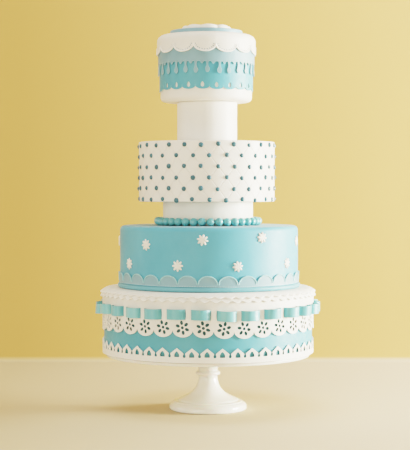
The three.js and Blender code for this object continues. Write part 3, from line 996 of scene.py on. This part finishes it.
def ribbon():
    piece = RIBBON_RECIPE.make(
        "threaded_ribbon", Count=BEADING.count, Seed=11, Radius=TIER_1_TRIM - 0.7 * MM,
        Middle=RIBBON.middle, Width=RIBBON.width, Bulge=RIBBON.bulge, Share=RIBBON.share,
        Thickness=RIBBON.thick, Phase=BEADING.phase, Waver=LACE.waver, Material=SATIN.material,
    )
    dress(piece, SATIN, "tier_1_ribbon")


def picket_lace():
    """Pointed pickets, each with a hole in the shape of a house."""
    width = TURN * TIER_1_TRIM / PICKET.count
    gap = flowing([(x * MM, PICKET.valley + y * MM) for x, y in PICKET_GAP])
    (x, y), steps = gap[-1], 4
    across, up = width / 2 - x, PICKET.peak - y
    roof = [(x + across * i / steps, y + up * i / steps) for i in range(1, steps + 1)]
    outline, base = mirrored(gap + roof, width), straight(width, PICKET.low)
    half = HOUSE.half
    chance = random.Random(8)
    shapes = []
    for _ in range(4):
        x = width / 2 + chance.uniform(-0.4, 0.4) * MM
        low = HOUSE.sill + chance.uniform(-0.3, 0.3) * MM
        eave, ridge = low + HOUSE.eave, low + HOUSE.ridge
        wall, slope = eave - 2 * MM, ridge - 1.6 * MM
        house = [
            (x - half, low), (x, low - 0.2 * MM), (x + half, low), (x + half, wall),
            (x + half * 0.92, eave), (x + half * 0.45, slope), (x, ridge), (x - half * 0.45, slope),
            (x - half * 0.92, eave), (x - half, wall),
        ]
        shapes.append(cut_shape(width, base, outline, [house], plain_upper=False))
    lay(
        STRIP, "picket_lace", "tier_1_picket_lace", shapes, PICKET, WHITE, Seed=3, Radius=TIER_1_TRIM,
        Thickness=PICKET.thick, Waver=0.3 * MM,
    )


def draped_covers():
    """Two thin sheets over the top, one on the other, with wavy hems."""
    depth, count = COVER.depth, COVER.count
    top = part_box(COVER_NODE)[1].z
    shoulder = top - 2 * PASTE - COVER.edge
    for number, hem in enumerate(COVER.hems):
        radius = TIER_1_TRIM + PASTE + 0.3 * MM + number * PASTE
        edge = COVER.edge + number * PASTE
        width = TURN * radius / count
        wave = [(width * i / 10, hem + depth * math.cos(TURN * i / 10)) for i in range(11)]
        reach = shoulder + edge * math.pi / 2 + COVER.inward
        trim = Sizes(count=count, phase=COVER.phase + number * COVER.offset)
        common = {
            "Shoulder": shoulder, "Edge": edge, "Waver": 0.5 * MM,
            "Hem": hem - depth, "Flare": COVER.flare,
        }
        shape = cut_shape(width, wave, straight(width, reach, 4), step=3.5 * MM)
        lay(
            STRIP, f"draped_cover_{number + 1}", COVER_NODE, [shape], trim, WHITE,
            Radius=radius, Thickness=PASTE, **common,
        )
        line = edge_line(width, [(x, y + 0.4 * MM) for x, y in wave])
        lay(
            ROLLED_RIM, f"cover_rim_{number + 1}", COVER_NODE, [line], trim, HIGHLIGHT_RIM_WHITE,
            Radius=radius + PASTE / 2, Rim=1.0 * MM, **common,
        )


def rope():
    """A rolled rope in the foot of the second tier."""
    low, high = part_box("tier_2_rope")
    radius = (high.z - low.z) / 2
    ring = (high.x - low.x) / 2 - radius
    middle = (low.z + high.z) / 2
    around = 14
    sections = []
    for i in range(SIDES):
        angle = TURN * i / SIDES
        bump = noise.noise(Vector((math.sin(angle) * 6, math.cos(angle) * 6, 3.0)))
        swell = radius * (1 + 0.05 * bump)
        turns = [TURN * k / around for k in range(around)]
        sections.append([(ring + swell * math.cos(t), middle + swell * math.sin(t)) for t in turns])
    dress(hoop("rolled_rope", sections, ROPE_BLUE.material, TIER_2.sway), ROPE_BLUE, "tier_2_rope")


def border():
    """Scallops on their straight foot, with a rolled rim along each arc."""
    radius, gap = TIER_2.radius + 0.3 * MM, BORDER.gap
    width = TURN * radius / BORDER.count
    arc = [(x + gap, y) for x, y in scallop(width - 2 * gap, BORDER.cusp, BORDER.tip)]
    edge = [(0.0, BORDER.cusp - gap)] + arc + [(width, BORDER.cusp - gap)]
    shape = cut_shape(width, straight(width, BORDER.low), edge, plain_upper=False)
    common = {"Sway": TIER_2.sway, "Waver": 0.5 * MM}
    lay(
        STRIP, "scalloped_border", "tier_2_border", [shape], BORDER, PALE_BLUE, Radius=radius,
        Thickness=BORDER.thick, **common,
    )
    line = edge_line(width, [(x, y - 0.4 * MM) for x, y in arc])
    lay(
        ROLLED_RIM, "border_rim", "tier_2_border", [line], BORDER, HIGHLIGHT_RIM_BLUE,
        Radius=radius + BORDER.thick, Rim=1.1 * MM, **common,
    )


def daisies():
    """Daisies with pinched petals and a dimpled eye, each turned its own way."""
    petals, outer, inner, thick = DAISY.petals, DAISY.outer, DAISY.inner, DAISY.thick
    face = TIER_2.radius + 0.4 * MM
    chance = random.Random(3)
    for node in DAISY_NODES:
        low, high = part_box(node)
        middle = (low + high) / 2
        angle = math.atan2(middle.x - TIER_2.sway, -middle.y)
        spin = chance.uniform(0, TURN / petals)
        size = chance.uniform(0.94, 1.03)

        def pinch(turn):
            """From 0 along the middle of a petal to 1 between two."""
            return abs(2 * (turn * petals / TURN % 1) - 1) ** 1.5

        def radius_at(turn):
            return size * (inner + (outer - inner) * (1 - pinch(turn)))

        def height_at(turn, share):
            crease = 1 - 0.45 * pinch(turn) * share
            round_off = math.sqrt(max(0.0, 1 - share ** 5))
            pit, groove = math.exp(-((share / 0.16) ** 2)), math.exp(-(((share - 0.3) / 0.12) ** 2))
            dimple = 0.35 * pit + 0.25 * groove
            return thick * (crease * round_off * 0.8 + 0.2 * (1 - share) - dimple * 0.6)

        def facing(x, y, lift):
            across = x * math.cos(spin) - y * math.sin(spin)
            up = x * math.sin(spin) + y * math.cos(spin)
            turn, reach = angle + across / face, face + lift
            return (reach * math.sin(turn) + TIER_2.sway, -reach * math.cos(turn), middle.z + up)

        piece = petalled(f"paste_{node}", radius_at, height_at, facing, WHITE.material, petals * 10)
        dress(piece, WHITE, node)


def pearls():
    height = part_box("pearl_ring")[0].z + PEARL.radius
    beads = BEADS.make(
        "sugar_pearls", Columns=PEARL.count, Rows=1, Seed=21, Segments=24, Ring=PEARL.ring,
        Low=height, High=height, Bead=PEARL.radius, Spread=0.03, Stray=0.3 * MM, Phase=PEARL.phase,
        Sway=SPACER_2.sway, Material=PEARL_SUGAR.material,
    )
    dress(beads, PEARL_SUGAR, "pearl_ring")


def quilting_beads():
    """Beads pressed in where the quilting lines cross."""
    radius = DRAGEE.radius
    beads = BEADS.make(
        "quilting_beads", Columns=DRAGEE.columns, Rows=DRAGEE.rows, Seed=31, Segments=10,
        Ring=TIER_3_SIDE - radius * 0.35, Low=DRAGEE.low, High=DRAGEE.high, Bead=radius, Spread=0.08,
        Stray=1.1 * MM, Phase=DRAGEE.phase, Sway=TIER_3.sway, Material=DRAGEE_SUGAR.material,
    )
    dress(beads, DRAGEE_SUGAR, "tier_3")


def punched_band():
    """A band with a scalloped edge and a drop punched in each scallop."""
    width = TURN * PUNCHED_INNER / PUNCHED.count
    edge = scallop(width, PUNCHED.cusp, PUNCHED.low)
    middle, taper = PUNCH.middle, PUNCH.taper
    oval = ellipse(width / 2, middle, PUNCH.long, PUNCH.wide, math.pi / 2, sides=18)
    drop = [(width / 2 + (x - width / 2) * (1 - (y - middle) / taper), y) for x, y in oval]
    shape = cut_shape(width, edge, straight(width, PUNCHED.high), [drop])
    lay(
        STRIP, "punched_band", "tier_4_punched_band", [shape], PUNCHED, TEAL, Radius=PUNCHED_INNER,
        Thickness=PASTE, Sway=TIER_4.sway, Waver=0.5 * MM, **upright(PUNCHED.low, 0.5 * MM),
    )


def fringe():
    """A band cut into drops on thin necks, each leaning and falling a little its own way."""
    width = TURN * FRINGE_INNER / FRINGE.count
    hem, middle = FRINGE.hem, width / 2
    chance = random.Random(12)
    shapes = []
    for _ in range(6):
        stray = chance.uniform(-1.5, 1.5) * MM
        fall = FRINGE.drop + chance.uniform(-0.8, 0.8) * MM
        fat = chance.uniform(0.92, 1.06)
        half = flowing(
            [(x * MM, hem + y * MM) for x, y in FRINGE_HEM]
            + [(middle - x * MM, hem + y * MM) for x, y in FRINGE_NECK]
            + [(middle - x * MM * fat, fall + y * MM) for x, y in FRINGE_DROP]
        )
        line = mirrored(half, width)
        bend = [(x + stray * math.sin(math.pi * x / width) ** 2, y) for x, y in line]
        shapes.append(cut_shape(width, bend, straight(width, FRINGE.high)))
    lay(
        STRIP, "drop_fringe", "tier_4_fringe", shapes, FRINGE, PALE_BLUE, Seed=6, Radius=FRINGE_INNER,
        Thickness=PASTE, Sway=TIER_4.sway, Waver=0.4 * MM, **upright(FRINGE.drop, 0.5 * MM),
    )


def collar():
    """A scalloped sheet over the top tier's shoulder, pricked along its edge, with a rolled rim."""
    thick = PASTE + 0.2 * MM
    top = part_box("tier_4_collar")[1].z
    bend = COLLAR.edge - thick
    shoulder = top - thick - bend
    width = TURN * COLLAR_INNER / COLLAR.count
    cusp, tip = COLLAR.cusp, COLLAR.tip
    edge = scallop(width, cusp, tip, 26)
    pricks = []
    for i in range(PRICKS.count):
        angle = math.pi * (i + 0.5) / PRICKS.count
        x = width / 2 - (width / 2 - PRICKS.aside) * math.cos(angle)
        y = cusp + PRICKS.above + (tip - cusp + 1.0 * MM) * math.sin(angle)
        pricks.append(ellipse(x, y, PRICKS.radius, PRICKS.radius, sides=8))
    reach = shoulder + bend * math.pi / 2 + COLLAR_INNER - bend - COLLAR.open
    shape = cut_shape(width, edge, straight(width, reach), pricks)
    common = {
        "Sway": TIER_4.sway, "Waver": 0.5 * MM, "Shoulder": shoulder, "Edge": bend, "Hem": tip,
        "Flare": COLLAR.flare,
    }
    lay(
        STRIP, "scalloped_collar", "tier_4_collar", [shape], COLLAR, WHITE, Radius=COLLAR_INNER,
        Thickness=thick, **common,
    )
    line = edge_line(width, [(x, y + 0.5 * MM) for x, y in edge])
    lay(
        ROLLED_RIM, "collar_rim", "tier_4_collar", [line], COLLAR, HIGHLIGHT_RIM_WHITE,
        Radius=COLLAR_INNER + thick, Rim=1.0 * MM, **common,
    )


def flower():
    """A ruffled flower, its lobes lipped up at the rim."""
    lobes = LOBES.count
    rise = FLOWER.top - FLOWER.base

    def round_the_lobe(turn):
        return (turn + math.pi / 2 - LOBES.phase) * lobes

    def radius_at(turn):
        across = 2 * (round_the_lobe(turn) / TURN % 1) - 1
        return FLOWER.radius * (0.90 + 0.14 * math.sqrt(max(0.0, 1 - across * across)))

    def height_at(turn, share):
        ruffle = 0.10 * math.cos(round_the_lobe(turn) + math.pi) * share ** 2
        lip = 0.66 + 0.34 * share ** 3 + ruffle
        return rise * min(1.0, lip * 1.08) * math.sqrt(max(0.0, 1 - share ** 14))

    def facing(x, y, lift):
        return (x + FLOWER.sway + LOBES.aside, y, FLOWER.base + lift)

    piece = petalled("paste_flower", radius_at, height_at, facing, WHITE.material, lobes * 20, rings=14)
    dress(piece, WHITE, FLOWER.node)


def build_cake():
    stand()
    drum("drum_1", TIER_1, 7 * MM, WHITE, radius=TIER_1_SIDE)
    blue_band()
    lace_backing()
    eyelet_lace()
    beading_lace()
    ribbon()
    picket_lace()
    draped_covers()
    drum("drum_2", TIER_2, 9 * MM, BLUE, uneven=0.8 * MM)
    rope()
    border()
    daisies()
    drum("spacer_round_2", SPACER_2, 1.5 * MM, WHITE)
    pearls()
    drum("quilted_drum", TIER_3, 1.6 * MM, QUILTED, radius=TIER_3_SIDE)
    quilting_beads()
    drum("spacer_round_1", SPACER_1, 1.5 * MM, WHITE)
    drum("drum_4", TIER_4, 6 * MM, WHITE, 9 * MM, radius=TIER_4_SIDE)
    punched_band()
    fringe()
    collar()
    drum("paste_disc", DISC, 2.4 * MM, PALE_BLUE, 2.2 * MM, 0.2 * MM)
    flower()


# Camera, light and floor
def camera():
    lens = bpy.data.cameras.new("Camera")
    lens.sensor_width = SENSOR
    lens.lens = SENSOR * DISTANCE_PIXELS / IMAGE_HEIGHT
    lens.clip_start = 0.1
    lens.clip_end = 50.0
    holder = in_scene("Camera", lens)
    scale = MM_PER_PIXEL * MM
    holder.location = (
        (IMAGE_WIDTH / 2 - AXIS_COLUMN) * scale, -DISTANCE_PIXELS * scale, (FLOOR_ROW - HORIZON_ROW) * scale
    )
    pitch = math.atan((IMAGE_HEIGHT / 2 - HORIZON_ROW) / DISTANCE_PIXELS)
    holder.rotation_euler = (math.pi / 2 - pitch, 0.0, 0.0)
    bpy.context.scene.camera = holder


def softbox(name, place, target, size, power, tint):
    """A lamp of a size, in watts, that points at a target."""
    light = bpy.data.lights.new(name, "AREA")
    light.shape = "RECTANGLE"
    light.size, light.size_y = size
    light.energy = power
    light.color = tint
    holder = in_scene(name, light)
    holder.location = place
    holder.rotation_euler = (Vector(place) - Vector(target)).to_track_quat("Z", "Y").to_euler()
    holder.visible_camera = False


def studio():
    """A strong light from the right, a weak warm one in front, and two faint ones above and at the left."""
    world = bpy.data.worlds.new("Studio")
    world.use_nodes = True
    glow = world.node_tree.nodes["Background"].inputs
    glow["Color"].default_value = (1.0, 0.905, 0.75, 1.0)
    glow["Strength"].default_value = 0.535
    bpy.context.scene.world = world
    softbox("Key", (3.6, 0.34, 0.56), (0.0, 0.0, 0.34), (1.9, 0.9), 660.0, (1.0, 0.985, 0.86))
    softbox("Fill", (-1.7, -3.0, 0.5), (0.0, 0.0, 0.34), (2.4, 1.6), 54.0, (1.0, 0.885, 0.71))
    softbox("Top", (0.0, -0.7, 3.2), (0.0, 0.0, 0.4), (2.6, 2.0), 43.0, (1.0, 0.95, 0.86))
    softbox("Left edge", (-3.0, 0.15, 0.4), (0.0, 0.0, 0.34), (0.9, 1.0), 11.0, (1.0, 0.93, 0.86))
    view = bpy.context.scene.view_settings
    view.view_transform = "Filmic"
    view.look = "High Contrast"


def backdrop():
    """A floor that turns up into a wall behind the cake, both painted paler towards the right: painted light
    from the lamp at the right.
    """
    wall, bend, reach, front, height, steps = 0.66, 0.012, 4.0, -3.2, 3.0, 12
    line = [(front, 0.0), (wall - bend, 0.0)]
    for i in range(1, steps):
        angle = math.pi / 2 * i / steps
        line.append((wall - bend + bend * math.sin(angle), bend - bend * math.cos(angle)))
    line += [(wall, bend), (wall, height)]
    vertices = [(side * reach, y, z) for y, z in line for side in (-1, 1)]
    faces = [(2 * i, 2 * i + 1, 2 * i + 3, 2 * i + 2) for i in range(len(line) - 1)]
    finish = Finish("Pale backdrop")
    x, _, z = finish.split(finish.place)
    # Painted light: both colours run paler towards the right, where the key lamp stands
    across, up = finish.ranged(x, 0.0, 1.0, -0.4, 0.4), finish.ranged(z, 0.0, 1.0, 0.0, 0.01)
    table = finish.mixed(across, (192, 173, 138), (228, 214, 192))
    paint = finish.mixed(across, (186, 152, 90), (226, 186, 122))
    finish.set(Base_Color=finish.mixed(up, table, paint), Roughness=0.85)
    finish.clear_from_behind()
    plain_piece("backdrop", vertices, faces, finish.material)


camera()
studio()
backdrop()
build_cake()
